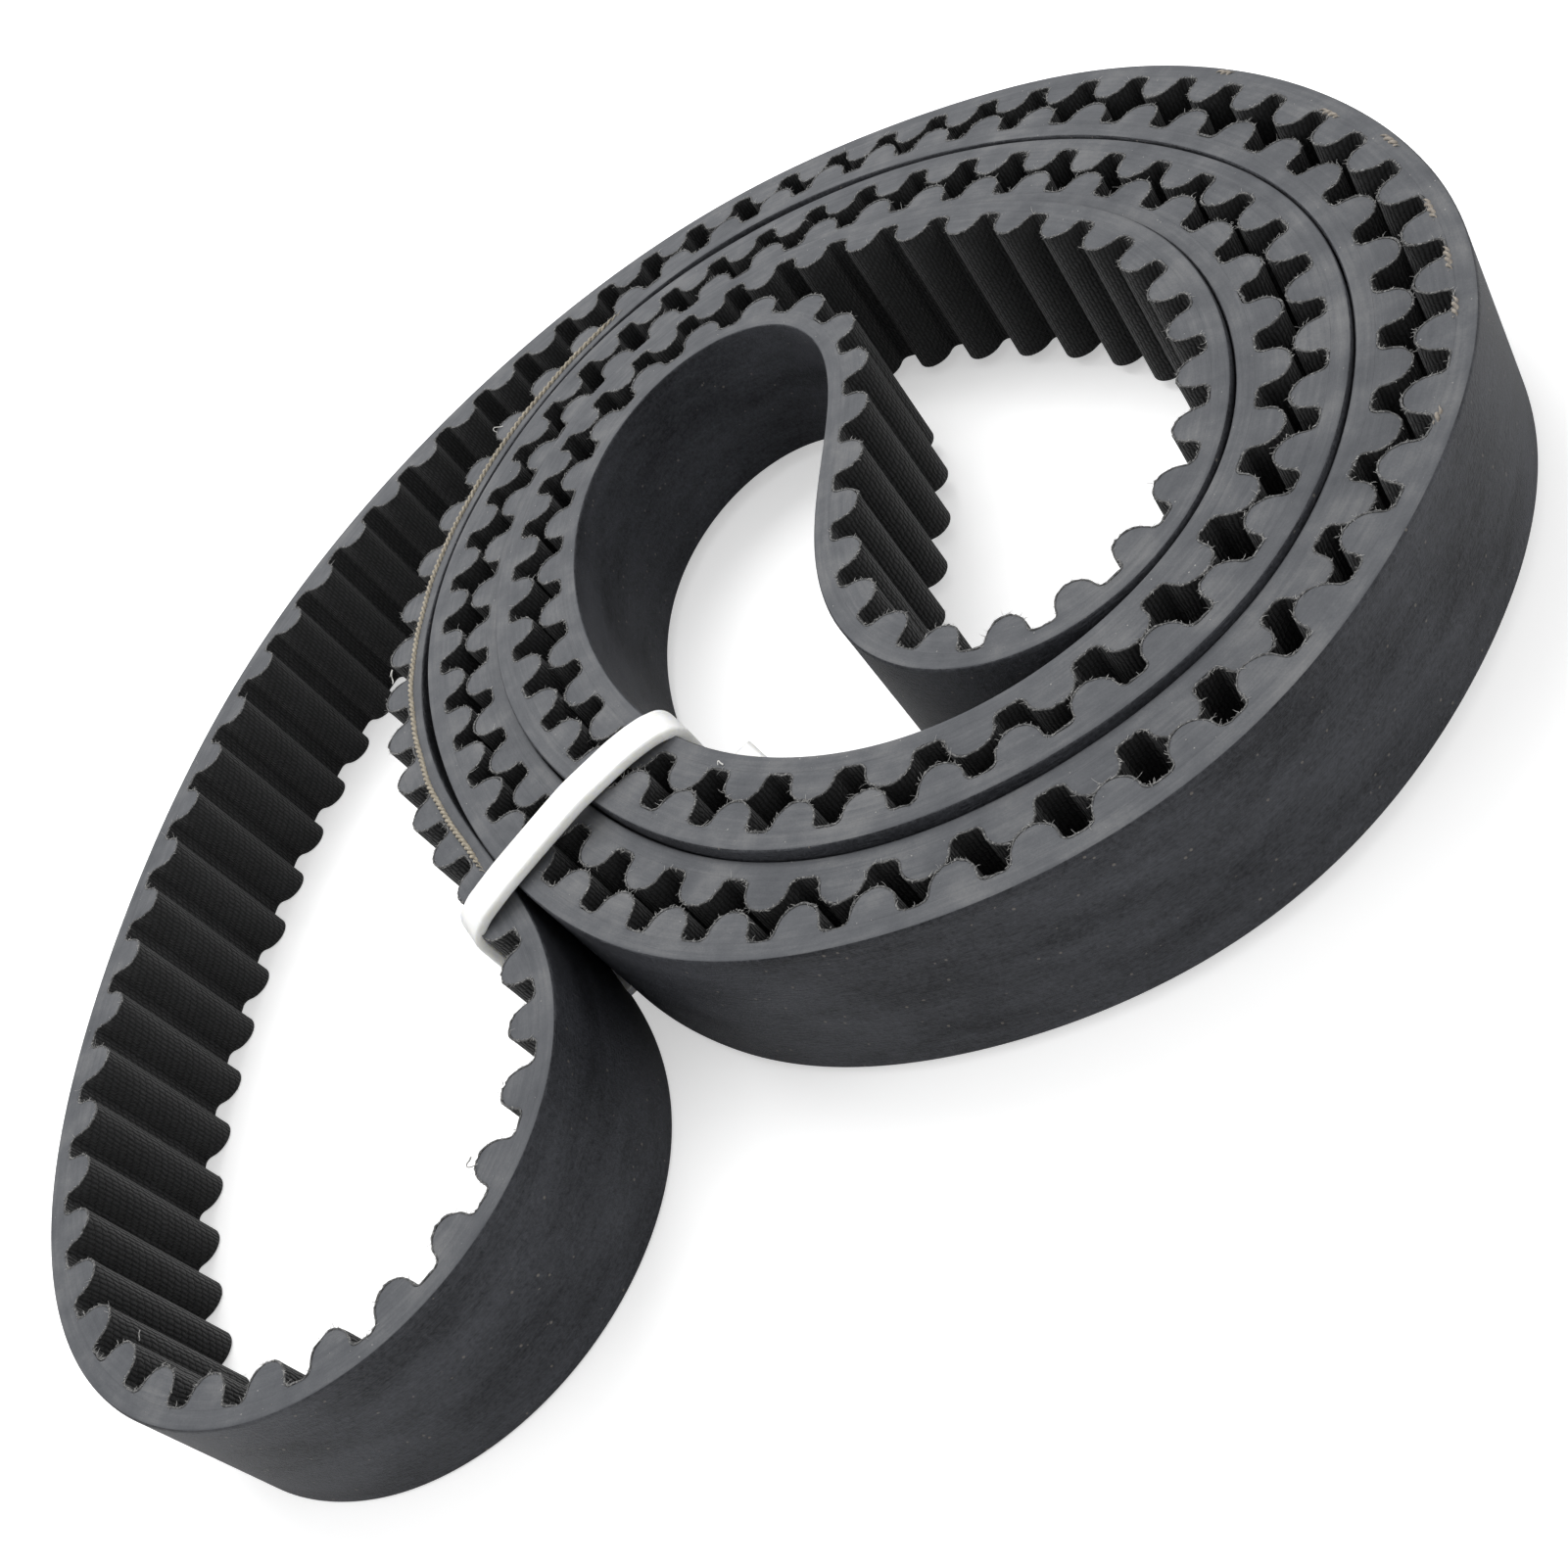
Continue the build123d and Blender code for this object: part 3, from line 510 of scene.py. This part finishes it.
M_CUT, M_BACK, M_FAB, M_TIE = mat_cut(), mat_back(), mat_facing(), mat_tie()
M_RIM = mat_rim()
M_CORD = mat_thread("glass_cord_tan", (0.20, 0.175, 0.135, 1), (0.46, 0.41, 0.32, 1))
M_BIT = mat_thread("cord_bit", (0.16, 0.14, 0.12, 1), (0.36, 0.32, 0.27, 1))
M_GLASS = mat_thread("glass_cord", (0.34, 0.30, 0.22, 1), (0.6, 0.54, 0.42, 1))
M_FIBRE = mat_thread("fray_fibre", (0.16, 0.16, 0.16, 1), (0.55, 0.54, 0.52, 1))
M_CRUMB = mat_thread("crumb", (0.22, 0.22, 0.21, 1), (0.62, 0.61, 0.58, 1))
M_WHITE = mat_thread("lint", (0.65, 0.64, 0.6, 1), (0.9, 0.89, 0.86, 1))

# ---------------------------------------------------------------- belt
rng = np.random.default_rng(11)
N1 = TEETH * 16
K1 = np.arange(N1) / 16.0
wob = 0.02 * np.sin(K1 * 2 * math.pi / TEETH * 37) + 0.015 * np.sin(K1 * 2 * math.pi / TEETH * 113 + 1.0)
prof = [(CORD_SIDE, 20.0, 0), (0.1, 20.0, 0), (-0.4, 20.0, 0), (-0.9, 20.0, 0), (-1.22, 19.995, 0),
        (-1.40, 19.95, 1), (-1.50, 19.85, 1), (-BACK, 19.68, 1), (-BACK, 19.2, 1), (-BACK, 17.0, 1), (-BACK, 14.0, 1),
        (-BACK, 11.0, 1), (-BACK, 8.0, 1), (-BACK, 5.0, 1), (-BACK, 2.5, 1), (-BACK, 0.9, 1), (-BACK, 0.32, 1), (-1.50, 0.15, 1),
        (-1.40, 0.05, 1), (-1.22, 0.005, 0), (-0.6, 0.0, 0), (0.0, 0.0, 0), (CORD_SIDE, 0.0, 0)]
rows, vs = [], []
acc = 0.0
for i, (o_, z_, _) in enumerate(prof):
    if i:
        acc += math.hypot(o_ - prof[i - 1][0], z_ - prof[i - 1][1])
    vs.append(acc)
    rows.append(belt_xyz(K1, o_ + (wob if o_ == -BACK else 0.0), z_))
backing = grid_mesh("belt_backing", rows, (K1 * PITCH, np.array(vs)), [M_CUT, M_BACK], [p[2] for p in prof])
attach(backing, "belt"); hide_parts("backing")


def outline(inset, ncrest=11, nfil=6, nland=2):
    """(k, offset) along the toothed side, same stations for any inset."""
    bb = math.radians(FLANK)
    cy = TOOTH_H - CREST_R
    cx = (CREST_R + ROOT_R - (ROOT_R - cy) * math.sin(bb)) / math.cos(bb)
    r1, r2 = CREST_R - inset, ROOT_R + inset
    half = [(r1 * math.cos(a), cy + r1 * math.sin(a)) for a in np.linspace(math.pi / 2, bb, ncrest)]
    half += [(cx + r2 * math.cos(a), ROOT_R + r2 * math.sin(a)) for a in np.linspace(math.pi + bb, 1.5 * math.pi, nfil)]
    x = [-q[0] for q in half[::-1]] + [q[0] for q in half[1:]]
    y = [q[1] for q in half[::-1]] + [q[1] for q in half[1:]]
    x0 = half[-1][0]
    for t in range(1, nland + 1):
        x.append(x0 + (PITCH - 2 * x0) * t / (nland + 1))
        y.append(-inset)
    x, y = np.array(x), np.array(y)
    k = (np.arange(TEETH)[:, None] + x[None] / PITCH).ravel()
    off = np.tile(PLD + y, TEETH)
    return k, off


KO, OO = outline(0.0)
KI, OI = outline(FACING_T)
pts0, _, _, _ = at(KO, OO)
S = np.r_[0.0, np.cumsum(np.linalg.norm(np.diff(pts0, axis=0), axis=1))]
nst = len(KO)

# tooth rubber: between the cord line and the facing
rows, mats_i = [], []
for f in (0.0, 0.3, 0.65, 1.0):
    rows.append(belt_xyz(KI, CORD_SIDE + 0.01 + f * (OI - 0.01 - CORD_SIDE - 0.01), 20.0 - (0.03 if f == 1.0 else 0.0)))
for f in (1.0, 0.5, 0.0):
    rows.append(belt_xyz(KI, CORD_SIDE + 0.01 + f * (OI - 0.01 - CORD_SIDE - 0.01), 0.0))
vprof = np.zeros((nst, 7))
for j, f in enumerate((0.0, 0.3, 0.65, 1.0)):
    vprof[:, j] = -f * (OI - CORD_SIDE)
for j, f in enumerate((1.0, 0.5, 0.0)):
    vprof[:, 4 + j] = -(20 + (1 - f) * 3.0)
rubber = grid_mesh("belt_teeth", rows, (KI * PITCH, vprof), [M_CUT], [0] * 7)
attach(rubber, "belt"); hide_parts("tooth_rubber")

# woven facing, its cut rim slightly frayed
fr = rng.normal(0, 1, nst)
fr = (fr + np.roll(fr, 1) + np.roll(fr, -1)) / 3
rim = 0.05 + 0.06 * fr
slow = np.convolve(np.r_[rng.normal(0, 1, nst + 4)], np.ones(5) / 5, "valid")
out = 0.16 * slow + 0.05 * rng.normal(0, 1, nst)


def between(f):
    return KI + f * (KO - KI), OI + f * (OO - OI)


fprof = [(0.0, 20.0, 0.6), (0.45, 20.0, 1.0), (0.8, 19.98, 1.0), (1.0, 19.88, 0.9), (1.0, 19.5, 0.45), (1.0, 18.8, 0.15)]
fprof += [(1.0, z, 0.0) for z in (17.5, 15.0, 12.5, 10.0, 7.5, 5.0, 2.5, 0.6)]
fprof += [(1.0, 0.12, 0.0), (0.8, 0.02, 0.0), (0.0, 0.0, 0.0)]
rows, vs = [], []
acc = 0.0
for i, (f, z, w) in enumerate(fprof):
    k, o_ = between(f)
    if i:
        acc += math.hypot((f - fprof[i - 1][0]) * FACING_T, z - fprof[i - 1][1])
    vs.append(acc)
    rows.append(belt_xyz(k, o_ + out * w, z + (rim * w if z > 19.7 else 0.0)))
facing = grid_mesh("belt_facing", rows, (S, np.array(vs)), [M_FAB, M_RIM],
                   [1 if i < 3 or i >= len(fprof) - 3 else 0 for i in range(len(fprof))], sharp=60)
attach(facing, "belt"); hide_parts("tooth_facing")

# tensile cord windings, inside the backing
for i in range(16):
    z = CORD_Z0 + i * CORD_PITCH
    n = 1000
    k = np.arange(n) * TEETH / n
    tw = k * PITCH / 3.2 * (1 if i % 2 == 0 else -1)
    rr = []
    for c in range(6):
        a = 2 * math.pi * c / 6
        r = 0.37
        q, lift, _, _ = at(k, r * math.cos(a))
        zz = np.clip(z + r * math.sin(a) + lift, 1.4, 19.95 + lift)
        rr.append(np.column_stack([q, zz]))
    name = "cord_%s_%02d" % ("s" if i % 2 == 0 else "z", i + 1)
    o = grid_mesh("tensile_" + name, rr, (k * PITCH, np.arange(6) * 0.4), [M_GLASS], [0] * 6, sharp=0)
    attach(o, "belt"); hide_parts(name)

# cut winding lying open in the upper edge: two plies twisted
def twisted(k0, k1, off, rise, n, fray):
    """Two plies of tan cord lying along the winding from tooth k0 to k1."""
    kk = np.linspace(k0, k1, n)
    out_p, out_r = [], []
    for ph in (0.0, math.pi):
        ang = (kk - kk[0]) * PITCH * 2 * math.pi / 1.9 + ph
        taper = np.clip(np.minimum(kk - kk[0], kk[-1] - kk) / fray, 0.15, 1.0)
        meander = 0.07 * np.sin(kk * 2.3) + 0.05 * np.sin(kk * 5.1 + 1)
        q, lift, _, _ = at(kk, off + meander + 0.17 * np.cos(ang))
        out_p.append(np.column_stack([q, 20.0 + lift + rise * taper + 0.17 * np.sin(ang)]))
        out_r.append(0.20 * taper)
    return out_p, out_r


plies, rad = twisted(EDGE_FROM, EDGE_TO, 0.05, 0.06, 1400, 0.5)
cord = tubes_mesh("edge_cord", plies, rad, 7, M_CORD)
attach(cord, "belt"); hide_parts("cord_edge")
plies, rad = [], []
for k0, k1, o_ in ((35.9, 36.25, -0.9), (38.4, 38.85, 0.3), (39.75, 40.2, -0.6), (41.45, 41.95, 0.5), (42.5, 43.0, 0.75), (43.45, 43.85, 0.55), (45.2, 45.5, 0.3)):
    p_, r_ = twisted(k0, k1, o_, -0.10, 60, 0.12)
    plies += p_
    rad += r_
bits = tubes_mesh("edge_cord_bits", plies, rad, 6, M_BIT)
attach(bits, "belt")

# frayed fibres along the cut rim of the facing
paths, rads = [], []
NF = 9500
idx = rng.integers(0, nst, NF)
fpos = rng.uniform(0.15, 1.0, NF)
kf = KI[idx] + fpos * (KO[idx] - KI[idx])
of_ = OI[idx] + fpos * (OO[idx] - OI[idx])
q0, lf, tt, nn = at(kf, of_)
tang = pts0[(idx + 1) % nst] - pts0[idx - 1]
tang /= np.linalg.norm(tang, axis=1)[:, None] + 1e-9
outw = np.column_stack([tang[:, 1], -tang[:, 0]])
low = rng.random(NF) < 0.12
for i in range(NF):
    L = min(0.9, rng.gamma(2.0, 0.10) + 0.10)
    d = outw[i] * rng.uniform(-0.5, 1.0) + tang[i] * rng.normal(0, 0.9)
    d = d / (np.linalg.norm(d) + 1e-9)
    up = rng.uniform(-0.1, 0.55)
    c = rng.normal(0, 0.5, 2)
    t = np.linspace(0, 1, 5)[:, None]
    xy = q0[i] + d * L * t + np.column_stack([-d[1] * t**2 * c[0], d[0] * t**2 * c[0]]) * L
    z = 20.0 + lf[i] + 0.02 + up * L * t[:, 0] + c[1] * 0.2 * L * t[:, 0]**2
    if low[i]:
        z = lf[i] + 0.06 + np.abs(up) * L * t[:, 0]
    paths.append(np.column_stack([xy, z]))
    rads.append(np.array([1.0, 0.95, 0.85, 0.7, 0.4]) * rng.uniform(0.02, 0.038))
fray = tubes_mesh("facing_fray", paths, rads, 3, M_FIBRE)
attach(fray, "belt")


# pale crumbs and lint caught on the cut edges
def crumb(c, r):
    u = np.array([[1, 0, 0], [-1, 0, 0], [0, 1, 0], [0, -1, 0], [0, 0, 1], [0, 0, -1]], float)
    return c + u * r * rng.uniform(0.6, 1.3, (6, 1))


vv, ff = [], []
tri = [(0, 2, 4), (2, 1, 4), (1, 3, 4), (3, 0, 4), (2, 0, 5), (1, 2, 5), (3, 1, 5), (0, 3, 5)]
for n in range(1900):
    j = rng.integers(0, nst)
    f = rng.uniform(0.93, 1.02) if rng.random() < 0.86 else rng.uniform(-0.5, 0.8)
    o_ = CORD_SIDE + f * (OI[j] - CORD_SIDE)
    p, l, _, _ = at(KI[j:j + 1], o_)
    c = np.array([p[0, 0], p[0, 1], 20.0 + l[0] + 0.03])
    vv.append(crumb(c, rng.uniform(0.022, 0.055) * (1.6 if rng.random() < 0.06 else 1.0)))
    ff += [tuple(len(vv) * 6 - 6 + t for t in tr) for tr in tri]
me = bpy.data.meshes.new("edge_crumbs")
me.from_pydata((np.vstack(vv) / 1000).tolist(), [], ff)
me.materials.append(M_CRUMB); me.update()
crumbs = bpy.data.objects.new("edge_crumbs", me)
bpy.context.scene.collection.objects.link(crumbs)
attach(crumbs, "belt")


def nearest(x, y):
    ks = np.arange(0, TEETH, 0.05)
    p, _, _, _ = at(ks, 0.0)
    j = np.argmin(((p - np.array([x, y]))**2).sum(1))
    return ks[j]


def threads(name, items, mat):
    paths, radii = [], []
    for x, y, L, r, turn in items:
        k0 = nearest(x, y)
        _, l, _, _ = at(np.array([k0]), 0.0)
        t = np.linspace(0, 1, 16)
        ang = turn + 2.9 * t + 0.7 * np.sin(t * 9)
        dx, dy = np.cumsum(np.cos(ang)) * L / 16, np.cumsum(np.sin(ang)) * L / 16
        z = 20.0 + l[0] + r + 0.25 * L * np.sin(t * 2.8) ** 2
        paths.append(np.column_stack([x + dx - dx.mean(), y + dy - dy.mean(), z]))
        radii.append(r * (1 - 0.45 * t))
    o = tubes_mesh(name, paths, radii, 5, mat)
    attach(o, "belt")


threads("lint_threads", [(-45.2, 12.4, 3.0, 0.07, 0.4), (5.2, -27.6, 1.1, 0.09, 1.2), (-34.2, 55.3, 2.2, 0.07, 2.4)], M_WHITE)
threads("loose_threads", [(-21.6, -64.0, 2.6, 0.10, 3.9), (-62.0, -70.5, 1.6, 0.05, 0.3)], M_FIBRE)

# ---------------------------------------------------------------- cable tie
ks = np.arange(0, TEETH, 0.02)
hull_pts = []
lo_a, hi_a = 0.0, 0.0
for off in (-BACK, -0.5, CORD_SIDE, PLD, 2.0, TOTAL - BACK):
    p, l, _, _ = at(ks, off)
    r = p - C
    a, b = r @ E, r @ B
    m = (np.abs(b) < TIE_W / 2 - 0.15) & (np.abs(a) < 22)
    hull_pts.append(np.column_stack([a[m], 20.0 + l[m]]))
    if off in (-BACK, TOTAL - BACK):
        lo_a, hi_a = min(lo_a, a[m].min()), max(hi_a, a[m].max())
hull_pts = np.vstack(hull_pts)
LO, HI = lo_a - 0.04, hi_a + TIE_GAP
CORNER = 1.2
grid_a = np.linspace(lo_a, hi_a, 60)
top = np.array([hull_pts[np.abs(hull_pts[:, 0] - a) < 0.8][:, 1].max() if (np.abs(hull_pts[:, 0] - a) < 0.8).any() else 0 for a in grid_a])


def upper_hull(x, y):
    h = []
    for p in zip(x, y):
        while len(h) >= 2 and (h[-1][0] - h[-2][0]) * (p[1] - h[-2][1]) - (h[-1][1] - h[-2][1]) * (p[0] - h[-2][0]) >= 0:
            h.pop()
        h.append(p)
    return np.array(h)


hull = upper_hull(grid_a, top)
za = lambda a: np.interp(a, hull[:, 0], hull[:, 1]) + 0.06


def arc(c, r, t0, t1, n=9):
    return [(c[0] + r * math.cos(t), c[1] + r * math.sin(t)) for t in np.linspace(t0, t1, n)]


def face_line(t):
    """One face of the strap at thickness t from its belt side, head root to cut tail."""
    r = CORNER + t
    p = [(HI + t, HEAD_Z + HEAD[1] / 2 - 1.0), (HI + t, 14.0)]
    zt = float(za(HI))
    p += arc((HI - CORNER, zt - CORNER), r, 0.0, math.pi / 2 - 0.05)
    for f in np.linspace(0.9, -0.9, 13):
        a = (HI + LO) / 2 + f * (HI - LO) / 2
        p.append((a, float(za(a)) + t + 0.22 * math.cos(f * math.pi / 2)))
    zt = float(za(LO))
    p += arc((LO + CORNER, zt - CORNER), r, math.pi / 2 + 0.05, math.pi)
    p.append((LO - t, 12.0))
    p += arc((LO + CORNER, TIE_T + CORNER), r, math.pi, 1.5 * math.pi)
    p.append(((LO + HI) / 2, TIE_T - t))
    p += arc((HI - CORNER, TIE_T + CORNER), r, -math.pi / 2, 0.0)
    bend = 0.5 + TIE_T - t
    p += arc((HI + TIE_T + 0.5, HEAD_Z - TIE_T / 2 - 0.5), bend, math.pi, math.pi / 2)
    p.append((HI + HEAD[2] + 0.6, HEAD_Z + TIE_T / 2 - t))
    return np.array(p)


def resample(p, n):
    s = np.r_[0, np.cumsum(np.linalg.norm(np.diff(p, axis=0), axis=1))]
    u = np.linspace(0, s[-1], n)
    return np.column_stack([np.interp(u, s, p[:, 0]), np.interp(u, s, p[:, 1])]), u


mid = face_line(TIE_T / 2)
mid, su = resample(mid, 420)
for _ in range(6):
    mid[1:-1] = (mid[:-2] + 2 * mid[1:-1] + mid[2:]) / 4
d = np.gradient(mid, axis=0)
d /= np.linalg.norm(d, axis=1)[:, None]
nrm = np.column_stack([d[:, 1], -d[:, 0]])
if (nrm[210] @ (mid[210] - np.array([(LO + HI) / 2, 11]))) < 0:
    nrm = -nrm
# cross-section: flat strap, rounded edges
hw, ht, r = TIE_W / 2, TIE_T / 2, 0.28
sec = []
for cx_, cy_, a0_ in ((hw - r, ht - r, 0), (-(hw - r), ht - r, math.pi / 2), (-(hw - r), -(ht - r), math.pi), (hw - r, -(ht - r), 1.5 * math.pi)):
    for a in np.linspace(a0_, a0_ + math.pi / 2, 5):
        sec.append((cx_ + r * math.cos(a), cy_ + r * math.sin(a)))
sec = np.array(sec)
rows = []
for bx, tz in sec:
    p2 = mid + nrm * tz
    xy = C + np.outer(p2[:, 0], E) + bx * B
    rows.append(np.column_stack([xy, p2[:, 1]]))
strap = grid_mesh("tie_band", rows, (su, np.arange(len(sec)) * 0.5), [M_TIE], [0] * len(sec), closed=False, sharp=50)
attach(strap, "belt"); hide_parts("tie_strap")
for n in ("tie_head", "tie_pawl"):
    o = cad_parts[n]
    o.data.materials.clear()
    o.data.materials.append(M_TIE)
    bv = o.modifiers.new("soften", "BEVEL")
    bv.width, bv.segments, bv.limit_method, bv.angle_limit = 0.00018 if n == "tie_head" else 0.00006, 2, "ANGLE", math.radians(40)

# ---------------------------------------------------------------- stage
me = bpy.data.meshes.new("floor")
F = 2.5
me.from_pydata([(-F, -F, -0.0001), (F, -F, -0.0001), (F, F, -0.0001), (-F, F, -0.0001)], [], [(0, 1, 2, 3)])
m, nt, b = new_mat("floor_white")
b.inputs["Base Color"].default_value = (FLOOR, FLOOR, FLOOR, 1)
b.inputs["Roughness"].default_value = 0.9
b.inputs["Specular IOR Level"].default_value = 0.1
b.inputs["Emission Color"].default_value = (1, 1, 1, 1)
q = G(nt)
seen = q.node("ShaderNodeLightPath").outputs["Is Camera Ray"]
q.link(q.math("MULTIPLY", seen, FLOOR_GLOW), b.inputs["Emission Strength"])
me.materials.append(m)
floor = bpy.data.objects.new("floor", me)
bpy.context.scene.collection.objects.link(floor)

w = bpy.data.worlds.new("studio")
bpy.context.scene.world = w
w.use_nodes = True
bg = w.node_tree.nodes["Background"]
bg.inputs[0].default_value = (1, 1, 1, 1)
bg.inputs[1].default_value = WORLD


def area(name, loc, target, size, power, colour=(1, 1, 1)):
    l = bpy.data.lights.new(name, "AREA")
    l.shape, l.size, l.size_y, l.energy, l.color = "RECTANGLE", size[0], size[1], power, colour
    o = bpy.data.objects.new(name, l)
    bpy.context.scene.collection.objects.link(o)
    o.location = loc
    o.rotation_mode = "QUATERNION"
    o.rotation_quaternion = (Vector(target) - Vector(loc)).to_track_quat("-Z", "Y")
    return o


for spec in LIGHTS:
    area(*spec)

cam = bpy.data.cameras.new("camera")
cam.lens, cam.sensor_width, cam.clip_start, cam.clip_end = 41.54, 36.0, 0.01, 20.0
co = bpy.data.objects.new("camera", cam)
bpy.context.scene.collection.objects.link(co)
X, Y, Z = (0.85235, 0.0, -0.52297), (0.35227, 0.73910, 0.57414), (0.38653, -0.67360, 0.62997)
co.matrix_world = Matrix(((X[0], Y[0], Z[0], 0.0793), (X[1], Y[1], Z[1], -0.15006),
                          (X[2], Y[2], Z[2], 0.1299), (0, 0, 0, 1)))
bpy.context.scene.camera = co
vs_ = bpy.context.scene.view_settings
vs_.view_transform, vs_.look, vs_.exposure, vs_.gamma = "Standard", "None", 0.0, 1.0
